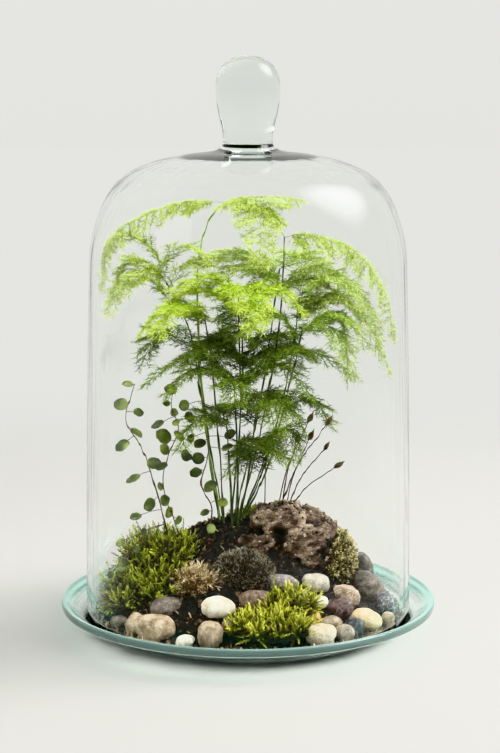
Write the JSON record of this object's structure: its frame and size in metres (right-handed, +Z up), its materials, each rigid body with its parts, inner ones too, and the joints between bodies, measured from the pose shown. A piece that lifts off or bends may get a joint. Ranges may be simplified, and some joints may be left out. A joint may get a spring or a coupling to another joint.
{
  "type": "glass plant terrarium",
  "caption": "Glass bell with a solid knob on a shallow glass plate, over a planted mound of soil with a feathery fern, a small creeping vine, mosses, bark and pebbles.",
  "frame": {"origin": "the middle of the plate's flat foot, on the surface that it stands on", "axes": "+Z is up along the axis of the plate, the bell and the knob; -Y is the side that the picture shows; +X is its right"},
  "size_m": [0.25, 0.25, 0.38],
  "materials": {
    "plate_glass": "clear, polished, pale green at the edge",
    "bell_glass": "clear, blown, polished",
    "soil": "loose, damp, dark",
    "stone_white": "water-worn, satin",
    "stone_beige": "water-worn, satin",
    "stone_brown": "water-worn, satin",
    "stone_mauve": "water-worn, satin",
    "stone_pale_grey": "water-worn, satin",
    "stone_straw": "water-worn, satin",
    "stone_white_small": "water-worn, satin",
    "stone_quartz": "water-worn, satin",
    "stone_maroon": "water-worn, satin",
    "stone_tall_grey": "water-worn, satin",
    "stone_dark_behind": "water-worn, satin",
    "stone_glassy": "water-worn, satin",
    "stone_cream": "water-worn, satin",
    "stone_sand": "water-worn, satin",
    "stone_tan": "water-worn, satin",
    "stone_slate": "water-worn, satin",
    "stone_tan_front": "water-worn, satin",
    "stone_ivory": "water-worn, satin",
    "stone_amber": "water-worn, satin",
    "stone_flat_brown": "water-worn, satin",
    "stone_grey_brown": "water-worn, satin",
    "stone_white_tiny": "water-worn, satin",
    "stone_flat_left": "water-worn, satin",
    "stone_bean": "water-worn, satin",
    "bark": "rough, weathered",
    "moss_left": "fine, leafy, matte",
    "moss_front": "fine, leafy, matte",
    "moss_cushion": "fine, leafy, matte",
    "moss_dry": "fine, leafy, matte",
    "moss_back": "fine, leafy, matte",
    "moss_on_bark": "fine, leafy, matte",
    "spore_stalks": "smooth, dry",
    "vine_leaf": "soft satin leaf",
    "fern_lime": "soft satin leaf",
    "fern_green": "soft satin leaf",
    "fern_dark": "soft satin leaf"
  },
  "bodies": {
    "root": {"glass_plate": "plate_glass", "glass_bell": "bell_glass", "soil": "soil", "pebble_white": "stone_white", "pebble_beige": "stone_beige", "pebble_brown": "stone_brown", "pebble_mauve": "stone_mauve", "pebble_pale_grey": "stone_pale_grey", "pebble_straw": "stone_straw", "pebble_white_small": "stone_white_small", "pebble_quartz": "stone_quartz", "pebble_maroon": "stone_maroon", "pebble_tall_grey": "stone_tall_grey", "pebble_dark_behind": "stone_dark_behind", "pebble_glassy": "stone_glassy", "pebble_cream": "stone_cream", "pebble_sand": "stone_sand", "pebble_tan": "stone_tan", "pebble_slate": "stone_slate", "pebble_tan_front": "stone_tan_front", "pebble_ivory": "stone_ivory", "pebble_amber": "stone_amber", "pebble_flat_brown": "stone_flat_brown", "pebble_grey_brown": "stone_grey_brown", "pebble_white_tiny": "stone_white_tiny", "pebble_flat_left": "stone_flat_left", "pebble_bean": "stone_bean", "bark": "bark", "moss_left": "moss_left", "moss_front": "moss_front", "moss_cushion": "moss_cushion", "moss_dry": "moss_dry", "moss_back": "moss_back", "moss_on_bark": "moss_on_bark", "spore_stalks": "spore_stalks", "vine_left": "vine_leaf", "vine_middle": "vine_leaf", "vine_right": "vine_leaf", "vine_runner": "vine_leaf", "fern_top_left": "fern_lime", "fern_twin": "fern_lime", "fern_left": "fern_lime", "fern_front_left": "fern_lime", "fern_front": "fern_lime", "fern_back_right": "fern_green", "fern_right": "fern_green", "fern_front_right": "fern_green", "fern_middle": "fern_dark", "fern_back_left": "fern_dark", "fern_back": "fern_dark", "fern_low_front": "fern_dark", "fern_low_left": "fern_dark", "fern_low_right": "fern_dark"}
  },
  "joints": []
}
